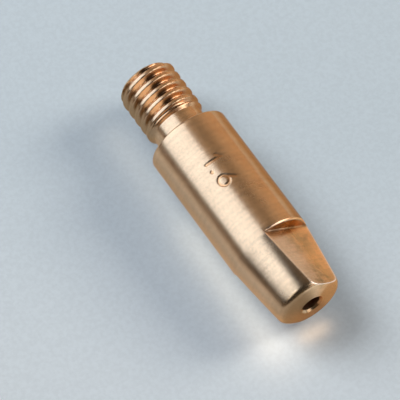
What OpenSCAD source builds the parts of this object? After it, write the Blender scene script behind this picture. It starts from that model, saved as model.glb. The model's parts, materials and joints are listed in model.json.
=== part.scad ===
// Contact tip of a wire welding torch: one piece, turned from copper bar.
// It stands on its thread end, with the nose that the wire leaves by at the top.

/* [Thread] */
// Diameter over the crests of the thread (M6)
thread_d = 5.9; // [5:0.1:6.5]
// Length of the threaded shank, from its end to the shoulder
shank_l = 7.5; // [6:0.5:10]
// Width of the 45 degree chamfer that leads into the thread
lead_in = 0.5; // [0.3:0.1:0.7]

/* [Body] */
// Diameter of the body
body_d = 8; // [7.5:0.1:9]
// Length of the straight body, from the shoulder to the nose
body_l = 13.8; // [10:0.1:20]
// Width of the 45 degree chamfer round the shoulder
shoulder_chamfer = 0.2; // [0.1:0.05:0.4]

/* [Nose] */
// Length of the tapered nose, from the straight body to the tip
nose_l = 6.7; // [5:0.1:9]
// Diameter of the nose at the corner of its front face
nose_d = 6.4; // [6:0.1:7]
// Radius that rounds this corner
nose_r = 0.7; // [0.3:0.05:0.9]
// Rise of the crowned front face, from its corner to the wire bore
crown = 0.25; // [0.1:0.05:0.5]

/* [Wrench flats] */
// Width across the two flats
flats_w = 5.5; // [5:0.1:5.9]
// Length of the flats, back from the tip
flats_l = 6.9; // [5:0.1:8]
// Radius in the inner corner where a flat ends in its step
flats_r = 0.15; // [0.1:0.05:0.2]

/* [Wire bore] */
// Diameter of the wire bore
bore_d = 1.9; // [1:0.1:2.2]
// Width of the chamfer at the front mouth
mouth_chamfer = 0.2; // [0.1:0.05:0.3]
// Diameter of the funnel that takes in the wire at the thread end
funnel_d = 3.4; // [2.6:0.1:3.6]
// Full angle of the funnel
funnel_angle = 60; // [40:5:90]

/* [Hidden] */
$fn = 96;

// How far a cut runs past the surface that it breaks through
overcut = 1;
// Full angle of the chamfer at the front mouth
mouth_angle = 90;

// Heights up the axis
shoulder_z = shank_l;
nose_z = shoulder_z + body_l;
tip_z = nose_z + nose_l;
corner_z = tip_z - crown;
flats_z = tip_z - flats_l;

// Radii that the profile is drawn with
thread_r = thread_d / 2;
body_r = body_d / 2;
corner_r = nose_d / 2;
mouth_d = bore_d + 2 * mouth_chamfer;
mouth_r = mouth_d / 2;

// Slope of the taper from the axis, and of the front face from a square end
taper_angle = atan((body_r - corner_r) / (corner_z - nose_z));
crown_angle = atan(crown / (corner_r - mouth_r));
crown_peak_z = tip_z + mouth_r * tan(crown_angle);

// The corner is rounded by a circle that touches the taper and the front face
corner_angle = 90 + taper_angle + crown_angle;
touch_l = nose_r / tan(corner_angle / 2);
corner = [corner_r, corner_z];
taper_end = corner + touch_l * [sin(taper_angle), -cos(taper_angle)];
face_start = corner + touch_l * [-cos(crown_angle), sin(crown_angle)];
corner_centre = taper_end + nose_r * [-cos(taper_angle), -sin(taper_angle)];

// Half of the turned section, from the axis outwards
module turned_section() {
    polygon([
        [0, 0],
        [thread_r - lead_in, 0],
        [thread_r, lead_in],
        [thread_r, shoulder_z],
        [body_r - shoulder_chamfer, shoulder_z],
        [body_r, shoulder_z + shoulder_chamfer],
        [body_r, nose_z],
        taper_end,
        corner_centre,
        face_start,
        [0, crown_peak_z]
    ]);
    translate(corner_centre) circle(r = nose_r);
}

// Cone that widens downwards from its point and is mouth wide at z = 0
module countersink(mouth, angle) {
    slope = tan(angle / 2);
    depth = mouth / 2 / slope;
    translate([0, 0, -overcut])
        cylinder(h = depth + overcut, r1 = mouth / 2 + overcut * slope, r2 = 0);
}

// Everything that the wire passes: the funnel, the bore and the chamfered mouth
module wire_bore() {
    translate([0, 0, -overcut])
        cylinder(h = tip_z + 2 * overcut, d = bore_d);
    countersink(funnel_d, funnel_angle);
    translate([0, 0, tip_z])
        mirror([0, 0, 1]) countersink(mouth_d, mouth_angle);
}

// What the cutter takes off one side of the nose, with a round inner corner
module flat_cut() {
    cut_w = body_r - flats_w / 2 + overcut;
    cut_l = flats_l + overcut;
    rotate([90, 0, 90])
        linear_extrude(height = body_d + 2 * overcut, center = true)
            translate([flats_w / 2, flats_z]) {
                translate([flats_r, 0]) square([cut_w, cut_l]);
                translate([0, flats_r]) square([cut_w, cut_l]);
                translate([flats_r, flats_r]) circle(r = flats_r);
            }
}

module contact_tip() {
    color("#c58a5c")
        difference() {
            rotate_extrude() turned_section();
            wire_bore();
            for (turn = [0, 180])
                rotate([0, 0, turn]) flat_cut();
        }
}

contact_tip();
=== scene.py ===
"""A welding contact tip, lying on a pale table as in its photograph."""

import json
import math

import bmesh
import bpy
import numpy as np
from mathutils import Matrix, Quaternion, Vector


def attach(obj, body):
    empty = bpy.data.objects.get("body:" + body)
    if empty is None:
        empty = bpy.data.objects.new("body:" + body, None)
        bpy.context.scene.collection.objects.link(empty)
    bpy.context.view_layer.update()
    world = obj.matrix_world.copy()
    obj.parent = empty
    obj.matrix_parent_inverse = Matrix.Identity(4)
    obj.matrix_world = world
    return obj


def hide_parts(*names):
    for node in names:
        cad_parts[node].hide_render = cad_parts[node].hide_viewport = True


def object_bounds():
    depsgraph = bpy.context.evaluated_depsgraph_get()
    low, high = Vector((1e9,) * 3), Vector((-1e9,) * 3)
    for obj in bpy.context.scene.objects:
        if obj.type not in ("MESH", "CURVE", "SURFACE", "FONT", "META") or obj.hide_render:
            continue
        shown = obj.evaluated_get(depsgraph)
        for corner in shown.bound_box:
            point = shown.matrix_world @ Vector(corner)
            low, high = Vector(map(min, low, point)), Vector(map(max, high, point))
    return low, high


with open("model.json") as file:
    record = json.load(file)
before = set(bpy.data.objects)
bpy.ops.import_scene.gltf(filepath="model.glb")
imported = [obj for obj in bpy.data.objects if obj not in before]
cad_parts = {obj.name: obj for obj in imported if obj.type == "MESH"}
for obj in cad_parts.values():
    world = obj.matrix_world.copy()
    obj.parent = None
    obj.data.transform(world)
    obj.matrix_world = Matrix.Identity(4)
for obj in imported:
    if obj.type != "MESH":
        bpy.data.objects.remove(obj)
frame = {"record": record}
cad_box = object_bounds()
mounts = {mount["name"]: mount for mount in frame["record"]["mounts"]}

# Lengths below are in millimetres, as on a drawing; the meshes are made in metres
MM = 0.001

# Sizes that the frame gives
tip_z = cad_box[1].z / MM
body_r = cad_box[1].x / MM
thread_r = mounts["thread"]["dims"]["r_mm"]
shoulder_z = mounts["shoulder_seat"]["pos_m"][2] / MM
flat_y = mounts["wrench_flat_back"]["pos_m"][1] / MM
bore_r = mounts["wire_bore"]["dims"]["r_mm"]

# Sizes that are repeated from the part's source
lead_in = 0.5
shoulder_chamfer = 0.2
nose_l = 6.7
nose_r = 0.7
corner_r = 3.2
crown = 0.25
flats_l = 6.9
flats_r = 0.15
mouth_chamfer = 0.2
funnel_r = 1.7
funnel_slope = math.tan(math.radians(30))

# Rounded edges, which only the looks have: the lip of a step, the creases beside a flat, the width of the
# painted highlight along the flats' edges, and the corner under the shoulder
step_edge_r = 0.2
crease_soft = 0.015
painted_highlight_w = 0.07
neck_r = 0.12

# The relief between thread and shoulder: its radius, the height where a 45 degree slope starts to lead
# down to it, how far above the crests the slope starts, and how softly the two meet
relief_r = 2.58
relief_z = 5.2
relief_lift = 0.1
relief_soft = 0.02

# The thread, M6 with a 1 mm pitch and right-handed
pitch = 1.0
thread_depth = 0.5
crest_w = 0.3
flank_slope = 1 / math.tan(math.radians(30))
crest_soft = 0.024
root_soft = 0.08
lead_in_gap = 0.01
lead_in_soft = 0.012
groove_start = 0.44
# Heights where the groove begins to fade, where it has gone, and where the fine rows that carry it begin
full_thread_z = 4.9
thread_end_z = 5.7
thread_rows_z = 6.0
thread_row = 0.036

# The plain number 1.6, the wire's diameter, stamped on the body: its middle, the side it is on, the figures'
# height, the depth, the stroke's half width inside and out, and the spacing of the rows that carry it
stamp_z = 13.8
stamp_phi = math.radians(43.5 - 90)
figure_h = 1.7
stamp_depth = 0.036
stroke_in = 0.07
stroke_out = 0.19
stamp_row = 0.055

# Radius of the first row inside the end face
end_row_r = 2.2

# Derived places
nose_z = tip_z - nose_l
flats_z = tip_z - flats_l
corner_z = tip_z - crown
mouth_r = bore_r + mouth_chamfer
taper = math.atan2(body_r - corner_r, corner_z - nose_z)
slant = math.atan2(crown, corner_r - mouth_r)
step_angle = math.asin(flat_y / body_r)

# Columns of the surface in each of its four zones: round, flat, round, flat
ROUND_COLUMNS = 76
FLAT_COLUMNS = 48

# Points closer than this are merged, in metres, and edges that turn by more than this stay sharp
MERGE_DISTANCE = 2e-7
SHARP_ANGLE = math.radians(32)


def polar(radius, angle):
    """Point at a radius and angle, as a pair."""
    return radius * np.array([math.cos(angle), math.sin(angle)])


def soft_min(a, b, width):
    """The smaller of a and b, with the corner between them rounded over about width."""
    return -width * np.logaddexp(-a / width, -b / width)


def smooth_step(low, high, x):
    """0 below low, 1 above high, and a cubic between them."""
    t = np.clip((x - low) / (high - low), 0, 1)
    return t * t * (3 - 2 * t)


def nose_rows():
    """Radius and height along the nose, from the bore's mouth over the front face and back down the taper.

    The radius grows all the way, so height is a function of radius: a cone at the mouth, a cone for the
    crowned face, a circle that touches it and the taper, and the taper. Rows close up where the flats end.
    """
    touch = nose_r / math.tan((math.pi / 2 + taper + slant) / 2)
    taper_end = np.array([corner_r + touch * math.sin(taper), corner_z - touch * math.cos(taper)])
    centre = taper_end - polar(nose_r, taper)
    arc_angles = np.linspace(math.pi / 2 - slant, taper, 300)
    arc_r = centre[0] + nose_r * np.cos(arc_angles)
    arc_z = centre[1] + nose_r * np.sin(arc_angles)
    path_r = np.concatenate([[bore_r, mouth_r], arc_r, [body_r]])
    path_z = np.concatenate([[tip_z - mouth_chamfer, tip_z], arc_z, [nose_z]])
    radius = np.concatenate([
        np.linspace(bore_r, mouth_r, 4),
        np.linspace(mouth_r, flat_y, 14),
        flat_y + 0.2 * np.linspace(0, 1, 12) ** 2,
        arc_r[::20],
        np.linspace(arc_r[-1], body_r, 30),
    ])
    radius = np.unique(np.round(radius[radius >= bore_r], 6))
    return radius, np.interp(radius, path_r, path_z)


def columns(crease):
    """Angles of the columns round the axis, and which of them cross a flat, for each row's crease angle.

    The zones are centred on +X, +Y, -X and -Y. Their ends follow the crease angle, and columns close up
    there.
    """
    angles = []
    on_flat = []
    for zone in range(4):
        count = FLAT_COLUMNS if zone % 2 else ROUND_COLUMNS
        u = -1 + 2 * np.arange(count) / count
        eased = 0.45 * u + 0.55 * np.sin(math.pi / 2 * u)
        half = math.pi / 2 - crease if zone % 2 else crease
        angles.append(zone * math.pi / 2 + half[:, None] * eased)
        on_flat.append(np.full(count, zone % 2 == 1))
    return np.concatenate(angles, axis=1), np.concatenate(on_flat)


def nose_surface():
    """The nose: the turned profile carried round the axis, cut at the distance of the flats from the axis.

    The last result is a painted highlight: 1 on the edges of the flats, falling to 0 beside them.
    """
    radius, height = nose_rows()
    inner = np.clip((radius - bore_r) / (flat_y - bore_r), 0, 1) ** 2
    crease = step_angle + (math.pi / 2 - step_angle) * inner
    outside = radius > flat_y
    crease[outside] = np.arcsin(flat_y / radius[outside])
    phi, _ = columns(crease)
    flat = flat_y / np.maximum(np.abs(np.sin(phi)), 0.05)
    r = soft_min(radius[:, None], flat, crease_soft)
    # Painted highlight: 1 along the edges of the flats, falling to 0 beside them
    from_edge = radius[:, None] * np.abs(np.sin(phi)) - flat_y
    painted_highlight = np.exp(-(from_edge / painted_highlight_w) ** 2)
    return r, phi, np.repeat(height[:, None], phi.shape[1], axis=1), painted_highlight


def step_surface():
    """The step at the end of each flat: a root radius, a wall across the axis and a rounded outer edge.

    The wall's height shrinks to nothing at the crescent's two points, and both radii shrink with it.
    Outside the flats all rows lie on one circle, and are merged later.
    """
    root = np.linspace(math.pi / 2, 0, 6)
    wall = np.array([0.33, 0.67])
    edge = np.linspace(0, math.pi / 2, 7)
    rows = len(root) + len(wall) + len(edge)
    phi, on_flat = columns(np.full(rows, step_angle))
    r = np.full(phi.shape, body_r)
    z = np.full(phi.shape, flats_z)
    sine = np.abs(np.sin(phi[0, on_flat]))
    size = np.clip((body_r - flat_y / sine) / (flats_r + step_edge_r), 0, 1)
    root_r = flats_r * size
    edge_r = step_edge_r * size
    foot = (flat_y + root_r) / sine
    lip = body_r - edge_r
    r_flat = np.concatenate([
        (flat_y + root_r * (1 - np.sin(root[:, None]))) / sine,
        foot + wall[:, None] * (lip - foot),
        lip + edge_r * np.sin(edge[:, None]),
    ])
    z_flat = flats_z + np.concatenate([
        root_r * (1 - np.cos(root[:, None])),
        np.zeros((len(wall), len(sine))),
        edge_r * (np.cos(edge[:, None]) - 1),
    ])
    r[:, on_flat] = r_flat
    z[:, on_flat] = z_flat
    return r, phi, z


def groove_depth(phi, z):
    """How deep the thread's groove is: a V along a right-hand helix, with a rounded crest and root.

    The depth falls linearly with the distance along the axis from the groove's middle, and fades out
    towards the shoulder.
    """
    along = (z - groove_start) / pitch - phi / (2 * math.pi)
    distance = np.abs(along - np.round(along)) * pitch
    plain = (pitch / 2 - crest_w / 2 - distance) * flank_slope
    depth = -soft_min(-plain, np.zeros_like(plain), crest_soft)
    depth = soft_min(depth, np.full_like(depth, thread_depth), root_soft)
    return depth * (1 - smooth_step(full_thread_z, thread_end_z, z))


def line_distance(x, y, start, end):
    """Distance from places in a plane to the straight stroke between two points."""
    run_x = end[0] - start[0]
    run_y = end[1] - start[1]
    share = ((x - start[0]) * run_x + (y - start[1]) * run_y) / (run_x ** 2 + run_y ** 2)
    share = np.clip(share, 0, 1)
    return np.hypot(x - start[0] - share * run_x, y - start[1] - share * run_y)


def stamp_mask(phi, z):
    """1 in the strokes of the stamped number and 0 outside them, with sloping sides between.

    The figures read towards the nose. In figure heights from their middle, x runs up the axis and y runs
    round the body.
    """
    turned_by = (phi - stamp_phi + math.pi) % (2 * math.pi) - math.pi
    x = (z - stamp_z) / figure_h
    y = -turned_by * body_r / figure_h
    one = line_distance(x, y, (-0.8, -0.5), (-0.8, 0.5))
    flag = line_distance(x, y, (-1.04, 0.28), (-0.8, 0.5))
    point = np.maximum(np.hypot(x + 0.26, y + 0.45) - 0.03, 0)
    six = np.abs(np.hypot(x - 0.52, y + 0.2) - 0.3)
    stem = line_distance(x, y, (0.24, -0.1), (0.66, 0.5))
    nearest = np.minimum.reduce([one, flag, point, six, stem]) * figure_h
    return 1 - smooth_step(stroke_in, stroke_out, nearest)


def back_surface():
    """Everything behind the flats: body, shoulder, threaded shank, end face, funnel and bore.

    Each row is a circle at one height. The thread takes its groove's depth off the shank's rows, and the
    relief cuts them off at its own radius. Gives radius, angle and height, the number of rows down to the
    end face, and the shares of stamp and groove at each place.
    """
    neck = np.linspace(0, math.pi / 2, 5)
    edge = np.linspace(0, math.pi / 2, 7)
    funnel_z = (funnel_r - bore_r) / funnel_slope
    shank_top = shoulder_z - neck_r
    body = np.concatenate([
        np.linspace(flats_z - step_edge_r - 0.3, stamp_z + figure_h, 8),
        np.arange(stamp_z + figure_h - stamp_row, stamp_z - 1.2 * figure_h, -stamp_row),
        np.linspace(stamp_z - 1.2 * figure_h, shoulder_z + shoulder_chamfer, 8),
    ])
    shank = np.concatenate([
        np.linspace(shank_top, thread_rows_z, 12)[1:],
        np.arange(thread_rows_z - thread_row, thread_row / 2, -thread_row),
        [0.0],
    ])
    lead = np.minimum(thread_r, thread_r - lead_in + shank)
    radius = np.concatenate([
        np.full(len(body), body_r),
        body_r - shoulder_chamfer * (1 - np.cos(edge[1:])),
        np.linspace(body_r - shoulder_chamfer, relief_r + neck_r, 6)[1:-1],
        relief_r + neck_r * (1 - np.sin(neck)),
        lead,
        np.linspace(end_row_r, funnel_r, 4),
        np.linspace(funnel_r, bore_r, 8)[1:],
        np.full(4, bore_r),
    ])
    height = np.concatenate([
        body,
        shoulder_z + shoulder_chamfer * (1 - np.sin(edge[1:])),
        np.full(4, shoulder_z),
        shoulder_z - neck_r * (1 - np.cos(neck)),
        shank,
        np.zeros(4),
        np.linspace(0, funnel_z, 8)[1:],
        np.linspace(funnel_z, tip_z - mouth_chamfer, 6)[1:-1],
    ])
    phi, _ = columns(np.full(len(radius), step_angle))
    r = np.repeat(radius[:, None], phi.shape[1], axis=1)
    z = np.repeat(height[:, None], phi.shape[1], axis=1)
    stamp = np.zeros(phi.shape)
    stamp[:len(body)] = stamp_mask(phi[:len(body)], z[:len(body)])
    r -= stamp_depth * stamp
    first = len(body) + len(edge) - 1 + 4 + len(neck)
    on_shank = slice(first, first + len(shank))
    depth = groove_depth(phi[on_shank], z[on_shank])
    slope = thread_r + relief_lift - np.maximum(z[on_shank] - relief_z, 0)
    threaded = soft_min(thread_r - depth, r[on_shank] + lead_in_gap, lead_in_soft)
    r[on_shank] = soft_min(threaded, np.maximum(relief_r, slope), relief_soft)
    groove = np.zeros(phi.shape)
    groove[on_shank] = depth / thread_depth
    return r, phi, z, first + len(shank), {"stamp": stamp, "groove": groove}


def closed_surface():
    """The whole tip as one closed grid: its rows run round the section, its columns round the axis.

    Gives the points, the faces, each face's finish (0 turned, 1 milled, 2 bored) and the points' attributes.
    """
    nose = nose_surface()
    step = step_surface()
    back = back_surface()
    r, phi, z = (np.concatenate([a, b, c]) for a, b, c in zip(nose[:3], step, back[:3]))
    rows, cols = r.shape
    points = np.stack([r * np.cos(phi), r * np.sin(phi), z], axis=-1)
    grid = np.arange(rows * cols).reshape(rows, cols)
    down = np.roll(grid, -1, axis=0)
    faces = np.stack([grid, down, np.roll(down, -1, axis=1), np.roll(grid, -1, axis=1)], axis=-1)
    _, on_flat = columns(np.full(1, step_angle))
    finish = np.zeros((rows, cols), dtype=int)
    outside = np.arange(rows) > np.argmax(r[:, 0] >= flat_y)
    cut = outside & (np.arange(rows) < len(nose[0]) + len(step[0]) - 1)
    finish[np.ix_(cut, on_flat)] = 1
    bored = len(nose[0]) + len(step[0]) + back[3] + 3
    finish[bored:] = 2
    middle = np.stack([r[:, 0], z[:, 0]], axis=-1)
    along = np.concatenate([[0], np.cumsum(np.linalg.norm(np.diff(middle, axis=0), axis=1))])
    values = {"along": np.repeat(along, cols)}
    before = np.zeros((rows - len(back[0]), cols))
    for name, value in back[4].items():
        values[name] = np.concatenate([before, value]).ravel()
    values["painted_highlight"] = np.concatenate([nose[3], np.zeros((rows - len(nose[3]), cols))]).ravel()
    return points.reshape(-1, 3), faces.reshape(-1, 4), finish.ravel(), values


def mesh_piece(name, points, faces, finish, values, materials):
    """Object with this grid as its mesh: doubles merged, sharp edges kept, the rest smooth."""
    mesh = bpy.data.meshes.new(name)
    mesh.from_pydata((points * MM).tolist(), [], faces.tolist())
    for key, value in values.items():
        mesh.attributes.new(key, "FLOAT", "POINT").data.foreach_set("value", value.astype(np.float32))
    for material in materials:
        mesh.materials.append(material)
    mesh.polygons.foreach_set("material_index", finish.astype(np.int32))
    merged = bmesh.new()
    merged.from_mesh(mesh)
    bmesh.ops.remove_doubles(merged, verts=merged.verts, dist=MERGE_DISTANCE)
    merged.to_mesh(mesh)
    merged.free()
    mesh.polygons.foreach_set("use_smooth", np.ones(len(mesh.polygons), dtype=bool))
    mesh.set_sharp_from_angle(angle=SHARP_ANGLE)
    piece = bpy.data.objects.new(name, mesh)
    bpy.context.scene.collection.objects.link(piece)
    return piece


# Materials

def link_new(tree, kind, inputs=None, **settings):
    """New node with its settings and its inputs, which are values or sockets of other nodes."""
    node = tree.nodes.new(kind)
    for key, value in settings.items():
        setattr(node, key, value)
    for key, value in (inputs or {}).items():
        if isinstance(value, bpy.types.NodeSocket):
            tree.links.new(value, node.inputs[key])
        else:
            node.inputs[key].default_value = value
    return node


def math_node(tree, operation, a, b):
    """Output of a math node for two values or sockets."""
    return link_new(tree, "ShaderNodeMath", {0: a, 1: b}, operation=operation).outputs[0]


def dot(tree, vector, axis):
    """How far a vector reaches along an axis."""
    node = link_new(tree, "ShaderNodeVectorMath", {0: vector, 1: axis}, operation="DOT_PRODUCT")
    return node.outputs["Value"]


def scaled(tree, vector, scale):
    """A vector or colour times a value."""
    return link_new(tree, "ShaderNodeVectorMath", {0: vector, "Scale": scale}, operation="SCALE").outputs[0]


def attribute(tree, name):
    """Value of one of the mesh's attributes."""
    return link_new(tree, "ShaderNodeAttribute", attribute_name=name).outputs["Fac"]


def new_material(name):
    """Material with only a Principled shader and its output."""
    material = bpy.data.materials.new(name)
    material.use_nodes = True
    tree = material.node_tree
    tree.nodes.clear()
    shader = tree.nodes.new("ShaderNodeBsdfPrincipled")
    output = tree.nodes.new("ShaderNodeOutputMaterial")
    tree.links.new(shader.outputs["BSDF"], output.inputs["Surface"])
    return material, tree, shader


def new_group(name, outputs):
    """Empty shader node group with these value outputs; gives the group and its output node."""
    group = bpy.data.node_groups.new(name, "ShaderNodeTree")
    for output in outputs:
        group.interface.new_socket(output, in_out="OUTPUT", socket_type="NodeSocketFloat")
    return group, group.nodes.new("NodeGroupOutput")


def remapped(tree, value, low, high, to_low=0.0, to_high=1.0):
    """Value carried smoothly from one range to another, and held at its ends."""
    inputs = {"Value": value, "From Min": low, "From Max": high, "To Min": to_low, "To Max": to_high}
    return link_new(tree, "ShaderNodeMapRange", inputs, interpolation_type="SMOOTHSTEP").outputs["Result"]


def noise(tree, vector, scale, detail=4.0, roughness=0.55):
    """Value of a noise texture."""
    inputs = {"Vector": vector, "Scale": scale, "Detail": detail, "Roughness": roughness}
    return link_new(tree, "ShaderNodeTexNoise", inputs).outputs[0]


def tarnish_and_light_group():
    """Where the copper has darkened, and where light and shade are painted onto it.

    Warm is its orange side, a painted warm reflection, Deep is painted shade on the darkest part of that
    side,
    Stain is brown blotches, Smoke is the brown of the front end and of darker patches on the front flat,
    Corner is painted shade in the steps of the flats, Thread is darker colour on one side of the thread, most
    of it in the groove, Grease is spots of painted dark reflection in the groove along one line up the shank,
    Rough is the duller orange edge of a flat, and Cloud is faint unevenness.
    """
    names = ["Warm", "Deep", "Stain", "Smoke", "Corner", "Thread", "DarkReflection", "Rough", "Cloud"]
    group, out = new_group("tarnish_and_light", names)
    place = group.nodes.new("ShaderNodeTexCoord").outputs["Object"]
    parts = link_new(group, "ShaderNodeSeparateXYZ", {0: place})
    height = parts.outputs["Z"]
    across = link_new(group, "ShaderNodeVectorMath", {0: place, 1: (1, 1, 0)}, operation="MULTIPLY")
    outward = link_new(group, "ShaderNodeVectorMath", {0: across.outputs[0]}, operation="NORMALIZE")
    outward = outward.outputs[0]
    along = attribute(group, "along")
    cloud = noise(group, place, 700)

    # The orange side is a painted warm reflection, and Deep is painted shade on the darkest part of it
    side = dot(group, outward, warm_reflection_side_out)
    uneven = math_node(group, "MULTIPLY", math_node(group, "SUBTRACT", cloud, 0.5), 0.5)
    less_uneven = math_node(group, "MULTIPLY", uneven, 0.3)
    warm = remapped(group, math_node(group, "ADD", side, uneven), -0.05, 0.8)
    deep = remapped(group, math_node(group, "ADD", side, less_uneven), 0.52, 0.72)
    stain = remapped(group, noise(group, place, 420, 6.0, 0.65), 0.55, 0.78)

    lower = dot(group, outward, lower_side_out)
    front = remapped(group, along, face_end + 0.3, face_end - 0.3)
    front = math_node(group, "MULTIPLY", front, remapped(group, lower, -0.6, 0.6, 0.25, 0.7))
    behind_front = remapped(group, along, face_end + 2.4, face_end + 0.3, 0, 0.3)
    smoke = math_node(group, "MAXIMUM", front, behind_front)
    uneven_smoke = remapped(group, noise(group, place, 900, 4.0), 0.35, 0.6, 0.25, 0.95)
    for middle, radius, strength in dark_patches:
        gap = link_new(group, "ShaderNodeVectorMath", {0: place, 1: middle}, operation="DISTANCE")
        dark_patch = remapped(group, gap.outputs["Value"], radius * MM, 0.2 * radius * MM, 0, strength)
        smoke = math_node(group, "MAXIMUM", smoke, math_node(group, "MULTIPLY", dark_patch, uneven_smoke))

    rough = remapped(group, parts.outputs["X"], -0.2 * MM, -2.0 * MM)
    # Painted shade in the steps of the flats
    above = remapped(group, height, (flats_z - 0.05) * MM, (flats_z - 0.01) * MM)
    below = remapped(group, height, (flats_z + 0.3) * MM, (flats_z + 0.05) * MM)
    corner = math_node(group, "MULTIPLY", above, below)
    corner = math_node(group, "MULTIPLY", corner, remapped(group, cloud, 0.35, 0.6, 0.55, 0.95))

    groove = attribute(group, "groove")
    on_shank = remapped(group, height, (thread_end_z + 0.5) * MM, (thread_end_z - 0.3) * MM)
    # Darker on one side of the thread, most of it in the groove
    thread = math_node(group, "MULTIPLY", on_shank, remapped(group, lower, 0.68, 0.95))
    thread = math_node(group, "MULTIPLY", thread, remapped(group, groove, 0.0, 0.9, 0.56, 0.8))
    # Painted dark reflection: spots in the groove along one line up the shank
    in_line = dot(group, outward, dark_reflection_out)
    painted_dark_reflection = math_node(group, "MULTIPLY", on_shank, remapped(group, in_line, 0.965, 0.999))
    painted_dark_reflection = math_node(group, "MULTIPLY", painted_dark_reflection, remapped(group, groove, 0.1, 0.8, 0.0, 0.75))

    for name, value in zip(names, (warm, deep, stain, smoke, corner, thread, painted_dark_reflection, rough, cloud)):
        group.links.new(value, out.inputs[name])
    return group


def tool_marks_group():
    """Fine rings left by the lathe: noise along the section with only a slow change round the axis.

    Height is for bumps; Shade is about 1 and darkens some rings and grains a little.
    """
    group, out = new_group("tool_marks", ["Height", "Shade"])
    along = attribute(group, "along")
    place = group.nodes.new("ShaderNodeTexCoord").outputs["Object"]
    stretched = link_new(group, "ShaderNodeCombineXYZ", {
        "X": along,
        "Y": math_node(group, "MULTIPLY", noise(group, place, 150, 2.0), 0.5),
    }).outputs[0]
    fine = noise(group, stretched, 9, 3.0)
    broad = noise(group, stretched, 1.7, 2.0)
    height = math_node(group, "ADD", fine, broad)
    group.links.new(height, out.inputs["Height"])
    ring_shade = remapped(group, noise(group, stretched, 3.2, 2.0), 0.3, 0.7, 0.93, 1.02)
    grain_shade = remapped(group, noise(group, place, 4000, 2.0), 0.3, 0.7, 0.95, 1.04)
    group.links.new(math_node(group, "MULTIPLY", ring_shade, grain_shade), out.inputs["Shade"])
    return group


def mixed(tree, factor, a, b):
    """Colour between a and b, each a colour or a socket."""
    mix = link_new(tree, "ShaderNodeMix", data_type="RGBA")
    for socket, value in ((mix.inputs[0], factor), (mix.inputs[6], a), (mix.inputs[7], b)):
        if isinstance(value, bpy.types.NodeSocket):
            tree.links.new(value, socket)
        else:
            socket.default_value = value
    return mix.outputs[2]


# Colours of what lies on the copper and of its painted shade and painted dark reflection, of fresh copper in
# the stamp, of the painted highlight on the flats' edges, and of its reflections at a grazing angle
STAIN_BROWN = (0.3, 0.17, 0.09, 1)
SMOKE_BROWN = (0.42, 0.27, 0.14, 1)
THREAD_DARKENING = (0.3, 0.18, 0.085, 1)
PAINTED_DARK_REFLECTION = (0.1, 0.05, 0.02, 1)
PAINTED_CORNER_SHADE = (0.16, 0.08, 0.035, 1)
STAMP_ORANGE = (0.85, 0.43, 0.2, 1)
PAINTED_HIGHLIGHT = (1.0, 0.84, 0.72, 1)
EDGE_TINT = (0.85, 0.62, 0.45, 1)
# How far the stamp and the painted highlight on the flats' edges take on their colours
STAMP_SHARE = 0.75
PAINTED_HIGHLIGHT_SHARE = 0.8
# How much the roughness varies with the unevenness, and how much a stain adds to it
CLOUD_ROUGHNESS = 0.12
STAIN_ROUGHNESS = 0.15


def copper(name, tint, warm_tint, stain_share, roughness, mark_height,
           corner_shade=0.0, shade_tint=None, edge_rough=0.0):
    """Bare copper: metallic, orange on one side as a painted warm reflection, stained a little, with tool
    marks as bumps, and with painted shade and a painted highlight where its masks place them.
    """
    material, tree, shader = new_material(name)
    tarnish_and_light = link_new(tree, "ShaderNodeGroup", node_tree=tarnish_and_light_nodes).outputs
    marks = link_new(tree, "ShaderNodeGroup", node_tree=tool_marks_nodes).outputs

    stain = math_node(tree, "MULTIPLY", tarnish_and_light["Stain"], stain_share)
    # Painted warm reflection on the orange side, then painted shade on its darkest part
    colour = mixed(tree, tarnish_and_light["Warm"], (*tint, 1), (*warm_tint, 1))
    if shade_tint:
        colour = mixed(tree, tarnish_and_light["Deep"], colour, (*shade_tint, 1))
    colour = mixed(tree, stain, colour, STAIN_BROWN)
    colour = mixed(tree, tarnish_and_light["Smoke"], colour, SMOKE_BROWN)
    colour = mixed(tree, tarnish_and_light["Thread"], colour, THREAD_DARKENING)
    # Painted dark reflection: spots in the groove along one line up the shank
    colour = mixed(tree, tarnish_and_light["DarkReflection"], colour, PAINTED_DARK_REFLECTION)
    # Painted shade in the steps of the flats
    if corner_shade:
        colour = mixed(tree, math_node(tree, "MULTIPLY", tarnish_and_light["Corner"], corner_shade), colour, PAINTED_CORNER_SHADE)
    colour = scaled(tree, colour, marks["Shade"])
    stamp = math_node(tree, "MULTIPLY", attribute(tree, "stamp"), STAMP_SHARE)
    colour = mixed(tree, stamp, colour, STAMP_ORANGE)
    # Painted highlight: a pale line along the edges of the flats
    painted_highlight = math_node(tree, "MULTIPLY", attribute(tree, "painted_highlight"), PAINTED_HIGHLIGHT_SHARE)
    colour = mixed(tree, painted_highlight, colour, PAINTED_HIGHLIGHT)

    cloudy = math_node(tree, "MULTIPLY", tarnish_and_light["Cloud"], CLOUD_ROUGHNESS)
    dull = math_node(tree, "ADD", cloudy, roughness - CLOUD_ROUGHNESS / 2)
    dull = math_node(tree, "ADD", dull, math_node(tree, "MULTIPLY", stain, STAIN_ROUGHNESS))
    if edge_rough:
        dull = math_node(tree, "ADD", dull, math_node(tree, "MULTIPLY", tarnish_and_light["Rough"], edge_rough))

    bump_inputs = {"Height": marks["Height"], "Distance": mark_height, "Strength": 1}
    bump = link_new(tree, "ShaderNodeBump", bump_inputs)
    shader.inputs["Metallic"].default_value = 1
    shader.inputs["Specular Tint"].default_value = EDGE_TINT
    tree.links.new(colour, shader.inputs["Base Color"])
    tree.links.new(dull, shader.inputs["Roughness"])
    tree.links.new(bump.outputs["Normal"], shader.inputs["Normal"])
    return material


# The side of the tip that is painted orange as a warm reflection, as a direction out from the axis
warm_reflection_side_out = (-0.87, -0.5, 0)
# The side where the front face is brownest, which lies lowest in the photograph
lower_side_out = (0.8, 0.6, 0)
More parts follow.
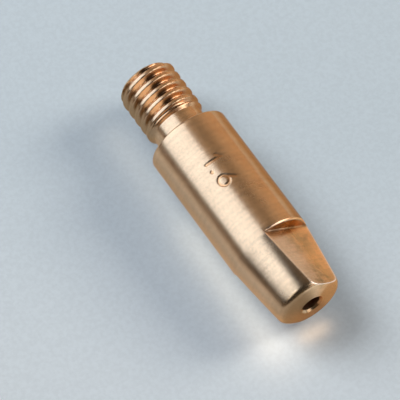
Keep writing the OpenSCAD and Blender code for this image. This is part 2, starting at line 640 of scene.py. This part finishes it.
# The line up the shank where the groove carries spots of painted dark reflection
dark_reflection_side = math.radians(39)
dark_reflection_out = (math.sin(dark_reflection_side), -math.cos(dark_reflection_side), 0)
# Darker brown patches on the front flat: middle, radius in millimetres and strength
dark_patches = [
    ((0.1 * MM, -flat_y * MM, (tip_z - 1.2) * MM), 2.0, 1.0),
    ((-0.4 * MM, -flat_y * MM, (tip_z - 5.2) * MM), 2.2, 0.6),
]
# How far along the section the front face ends and the taper begins
face_end = 2.3
tarnish_and_light_nodes = tarnish_and_light_group()
tool_marks_nodes = tool_marks_group()
# The warm tint colours the painted warm reflection, the deep tint the painted shade on its darkest part
turned = copper(
    "turned_copper", tint=(0.84, 0.54, 0.325), warm_tint=(0.8, 0.42, 0.2), shade_tint=(0.64, 0.27, 0.105),
    stain_share=0.35, roughness=0.245, mark_height=4e-6,
)
milled = copper(
    "milled_copper", tint=(0.92, 0.62, 0.42), warm_tint=(0.98, 0.5, 0.21), corner_shade=0.9,
    stain_share=0.5, roughness=0.24, edge_rough=0.26, mark_height=3e-6,
)
bored = copper(
    "bored_copper", tint=(0.42, 0.21, 0.11), warm_tint=(0.34, 0.16, 0.075),
    stain_share=0.5, roughness=0.4, mark_height=4e-6,
)

points, faces, finish, values = closed_surface()
tip = mesh_piece("turned_tip", points, faces, finish, values, [turned, milled, bored])
# The table takes no light from the tip itself: the thrown-light lamps below give what the photo shows
tip.visible_diffuse = False
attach(tip, "root")
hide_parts("contact_tip")

# Camera: where the photograph was taken from

photo_azimuth = math.radians(53.45)
photo_elevation = math.radians(23.67)
photo_roll = math.radians(143.33)
photo_distance = 394.19 * MM
aim_right = 1.082 * MM
aim_down = 5.585 * MM


def towards(azimuth, elevation):
    """Direction out from the object, azimuth 0 facing -Y and 90 degrees facing +X."""
    flat = math.cos(elevation)
    return Vector((math.sin(azimuth) * flat, -math.cos(azimuth) * flat, math.sin(elevation)))


back = towards(photo_azimuth, photo_elevation)
turn = (-back).to_track_quat("-Z", "Y") @ Quaternion((0, 0, 1), photo_roll)
photo_right = turn @ Vector((1, 0, 0))
photo_up = turn @ Vector((0, 1, 0))
camera_data = bpy.data.cameras.new("photo_camera")
camera_data.sensor_width = 36
camera_data.lens = 384.1
camera_data.clip_start = 0.01
camera_data.clip_end = 5
camera = bpy.data.objects.new("photo_camera", camera_data)
shoulder = Vector((0, 0, shoulder_z * MM))
camera.location = shoulder + aim_right * photo_right - aim_down * photo_up + photo_distance * back
camera.rotation_mode = "QUATERNION"
camera.rotation_quaternion = turn
bpy.context.scene.collection.objects.link(camera)
bpy.context.scene.camera = camera

# Table: the tip lies on it, so it is a sheet that touches the body's far side

table_up = towards(math.radians(36.6), 0)
table_right = (photo_right - photo_right.dot(table_up) * table_up).normalized()
table_away = table_up.cross(table_right)
tip_left = Vector((0, 0, 1)).cross(table_up)
table_centre = Vector((0, 0, tip_z * MM / 2)) - body_r * MM * table_up
table_size = 0.5


def on_table(right, away, up):
    """Place in the table's own directions, in metres from the table under the middle of the tip."""
    return table_centre + right * table_right + away * table_away + up * table_up


def one_sided(tree, shader):
    """Lets the sheet be seen from its front only, so that it hides nothing from behind."""
    geometry = tree.nodes.new("ShaderNodeNewGeometry")
    clear = tree.nodes.new("ShaderNodeBsdfTransparent")
    mix = link_new(tree, "ShaderNodeMixShader", {
        0: geometry.outputs["Backfacing"],
        1: shader.outputs["BSDF"],
        2: clear.outputs["BSDF"],
    })
    output = next(node for node in tree.nodes if node.type == "OUTPUT_MATERIAL")
    tree.links.new(mix.outputs["Shader"], output.inputs["Surface"])


def stage_sheet(name, corners, material):
    """Four-cornered sheet that belongs to the stage."""
    mesh = bpy.data.meshes.new(name)
    mesh.from_pydata([tuple(corner) for corner in corners], [], [(0, 1, 2, 3)])
    mesh.materials.append(material)
    sheet = bpy.data.objects.new(name, mesh)
    bpy.context.scene.collection.objects.link(sheet)
    return sheet


table_paint, table_tree, table_shader = new_material("table")
table_place = table_tree.nodes.new("ShaderNodeTexCoord").outputs["Object"]
away = dot(table_tree, table_place, table_away)
away_middle = table_centre.dot(table_away)
# Painted light: the table is lighter towards the camera
nearness = remapped(table_tree, away, away_middle + 12 * MM, away_middle - 22 * MM)
table_colour = mixed(table_tree, nearness, (0.72, 0.8, 0.85, 1), (0.84, 0.9, 0.94, 1))

# In reflections only, painted shade makes the table browner far to the left and ahead of the tip on its left,
# and painted light makes it glow a little everywhere and more ahead of the tip on its right
in_reflection = table_tree.nodes.new("ShaderNodeLightPath").outputs["Is Glossy Ray"]
left = dot(table_tree, table_place, tip_left)
left_middle = table_centre.dot(tip_left)
table_along = link_new(table_tree, "ShaderNodeSeparateXYZ", {0: table_place}).outputs["Z"]
ahead = remapped(table_tree, table_along, 25.5 * MM, 28.5 * MM)
far_left = remapped(table_tree, left, left_middle + 8 * MM, left_middle + 30 * MM, 0, 0.75)
ahead_left = remapped(table_tree, left, left_middle - 3 * MM, left_middle - 1 * MM, 0, 0.5)
ahead_left = math_node(table_tree, "MULTIPLY", ahead_left, ahead)
ahead_right = remapped(table_tree, left, left_middle - 1.2 * MM, left_middle - 3.2 * MM, 0, 0.5)
ahead_right = math_node(table_tree, "MULTIPLY", ahead_right, ahead)
brown = math_node(table_tree, "MAXIMUM", far_left, ahead_left)
brown = math_node(table_tree, "MULTIPLY", brown, in_reflection)
table_colour = mixed(table_tree, brown, table_colour, (0.42, 0.36, 0.28, 1))
table_glow = math_node(table_tree, "ADD", ahead_right, 0.06)
table_glow = math_node(table_tree, "MULTIPLY", in_reflection, table_glow)

grain = remapped(table_tree, noise(table_tree, table_place, 2500, 3.0), 0.3, 0.7, 0.97, 1.03)
table_colour = scaled(table_tree, table_colour, grain)
table_tree.links.new(table_colour, table_shader.inputs["Base Color"])
table_shader.inputs["Emission Color"].default_value = (0.72, 0.86, 1.0, 1)
table_tree.links.new(table_glow, table_shader.inputs["Emission Strength"])
table_shader.inputs["Roughness"].default_value = 0.9
table_shader.inputs["Specular IOR Level"].default_value = 0.1
one_sided(table_tree, table_shader)
half = table_size / 2
table_corners = [on_table(x * half, y * half, 0) for x, y in ((-1, -1), (1, -1), (1, 1), (-1, 1))]
stage_sheet("table", table_corners, table_paint)

# Dark card that stands far to the left, whose reflection is the dark line beside the highlight

card_paint, card_tree, card_shader = new_material("dark_card")
card_place = card_tree.nodes.new("ShaderNodeTexCoord").outputs["Object"]
card_along = link_new(card_tree, "ShaderNodeSeparateXYZ", {0: card_place}).outputs["Z"]
beside_nose = remapped(card_tree, card_along, 6 * MM, 16 * MM)
card_colour = mixed(card_tree, beside_nose, (0.26, 0.19, 0.13, 1), (0.12, 0.09, 0.065, 1))
card_tree.links.new(card_colour, card_shader.inputs["Base Color"])
card_shader.inputs["Roughness"].default_value = 0.9
one_sided(card_tree, card_shader)
card_away = 33 * MM
card_height = 8.5 * MM
card_half = 120 * MM
card_foot = table_centre + card_away * tip_left
card_near_end = card_foot + Vector((0, 0, -card_half))
card_far_end = card_foot + Vector((0, 0, card_half))
card_rise = card_height * table_up
card_corners = [card_near_end, card_near_end + card_rise, card_far_end + card_rise, card_far_end]
card = stage_sheet("dark_card", card_corners, card_paint)
card.visible_shadow = False

# Lights

# Distance of the soft boxes from the middle of the body, in metres
softbox_distance = 0.4


def area_lamp(name, place, axes, width, height, colour, radiance):
    """Rectangular lamp that shines against the last of its axes; width and height are in metres."""
    lamp = bpy.data.lights.new(name, "AREA")
    lamp.shape = "RECTANGLE"
    lamp.size = width
    lamp.size_y = height
    lamp.color = colour
    lamp.energy = radiance * math.pi * width * height
    holder = bpy.data.objects.new(name, lamp)
    holder.location = place
    holder.rotation_mode = "QUATERNION"
    holder.rotation_quaternion = Matrix(axes).transposed().to_quaternion()
    bpy.context.scene.collection.objects.link(holder)
    return holder


def softbox(name, bearing, elevation, width, height, colour, radiance):
    """Lamp that faces the tip from a bearing round the table and an elevation above it, in degrees.

    Bearing 0 is the photo's right, and 90 is away from the camera.
    """
    round_table = math.radians(bearing)
    above_table = math.radians(elevation)
    level = math.cos(above_table) * softbox_distance
    right = math.cos(round_table) * level
    away = math.sin(round_table) * level
    place = on_table(right, away, math.sin(above_table) * softbox_distance)
    axis_z = (place - table_centre).normalized()
    axis_x = table_up.cross(axis_z).normalized()
    axis_y = axis_z.cross(axis_x)
    return area_lamp(name, place, (axis_x, axis_y, axis_z), width, height, colour, radiance)


key = softbox("key", 177, 41.5, 0.42, 0.48, (0.6, 0.77, 1.0), 1.76)
key.visible_diffuse = False
overhead = softbox("overhead", 155, 48, 0.24, 0.24, (0.943, 0.976, 1.0), 5.6)
overhead.visible_glossy = False
low_right = softbox("low_right", 21, 34, 0.14, 0.14, (1.0, 0.95, 0.84), 11.2)
low_right.visible_glossy = False
right_glow = softbox("right_glow", 6, 34, 0.44, 0.26, (0.9, 0.95, 1.0), 2.2)
right_glow.visible_diffuse = False
lip_glow = softbox("lip_glow", -26, 15, 0.22, 0.12, (1.0, 0.97, 0.95), 1.2)
lip_glow.visible_diffuse = False
nose_glow = softbox("nose_glow", 226, 42, 0.14, 0.3, (0.8, 0.9, 1.0), 1.3)
nose_glow.visible_diffuse = False


def thrown_light(name, along, across, up, length, width, colour, radiance):
    """Light that the copper throws back onto the table, as a small lamp that no reflection shows.

    Its place is in millimetres from the table under the middle of the tip: towards the nose, to the left in
    the photo and up. Its length runs along the tip.
    """
    place = table_centre + MM * (Vector((0, 0, along)) + across * tip_left + up * table_up)
    axis_x = Vector((0, 0, 1))
    axis_y = table_up.cross(axis_x)
    lamp = area_lamp(name, place, (axis_x, axis_y, table_up), length * MM, width * MM, colour, radiance)
    lamp.visible_glossy = False


thrown_light("left_strip", 0.5, 4.4, 2.0, 28, 0.8, (1.0, 0.82, 0.6), 0.75)
thrown_light("left_front", 6.5, 4.3, 2.0, 15, 0.8, (1.0, 0.8, 0.55), 0.85)
thrown_light("front_patch", 14.6, 4.0, 3.0, 2.0, 2.4, (1.0, 0.74, 0.54), 1.6)
thrown_light("front_streak", 14.8, 0.2, 1.0, 0.8, 3.0, (1.0, 0.64, 0.38), 1.35)

# Room

world = bpy.data.worlds.new("room")
world.use_nodes = True
bpy.context.scene.world = world
world_tree = world.node_tree
world_tree.nodes.clear()
direction = world_tree.nodes.new("ShaderNodeTexCoord").outputs["Generated"]


def glow(centre, power):
    """Falls from 1 in one direction of the room to 0 at a right angle to it."""
    facing = math_node(world_tree, "MAXIMUM", dot(world_tree, direction, centre), 0)
    return math_node(world_tree, "POWER", facing, power)


# The room is dark, warm on one side, and pale where a camera behind the tip looks
warm_side = math.radians(60)
warm_direction = math.cos(warm_side) * table_right + math.sin(warm_side) * table_away
pale_direction = towards(math.radians(45), math.radians(-15))
path = world_tree.nodes.new("ShaderNodeLightPath")
room = mixed(world_tree, glow(warm_direction, 1.7), (0.04, 0.04, 0.035, 1), (0.58, 0.45, 0.31, 1))
seen_pale = math_node(world_tree, "MULTIPLY", glow(pale_direction, 60), path.outputs["Is Camera Ray"])
room = mixed(world_tree, seen_pale, room, (0.5, 0.56, 0.62, 1))

# Parts of the room that only reflections show: azimuth and elevation in degrees, power and colour
ceiling = (30, -33, 40, (0.5, 0.4, 0.28, 1))
far_wall = (75, -55, 10, (0.9, 0.95, 1.0, 1))
dark_wall = (0, -66, 25, (0.03, 0.02, 0.012, 1))
near_wall = (190, 76, 30, (0.85, 0.74, 0.5, 1))
for azimuth, elevation, power, colour in (ceiling, far_wall, dark_wall, near_wall):
    part = glow(towards(math.radians(azimuth), math.radians(elevation)), power)
    part = math_node(world_tree, "MULTIPLY", part, path.outputs["Is Glossy Ray"])
    room = mixed(world_tree, part, room, colour)

# Everything that isn't seen, mirrored or shown through is lit by a plain dim sky
shown = math_node(world_tree, "MAXIMUM", path.outputs["Is Camera Ray"], path.outputs["Is Glossy Ray"])
shown = math_node(world_tree, "MAXIMUM", shown, path.outputs["Is Transmission Ray"])
room = mixed(world_tree, shown, (0.053, 0.062, 0.088, 1), room)
sky = link_new(world_tree, "ShaderNodeBackground", {"Color": room, "Strength": 1})
world_out = world_tree.nodes.new("ShaderNodeOutputWorld")
world_tree.links.new(sky.outputs["Background"], world_out.inputs["Surface"])

bpy.context.scene.view_settings.view_transform = "Standard"
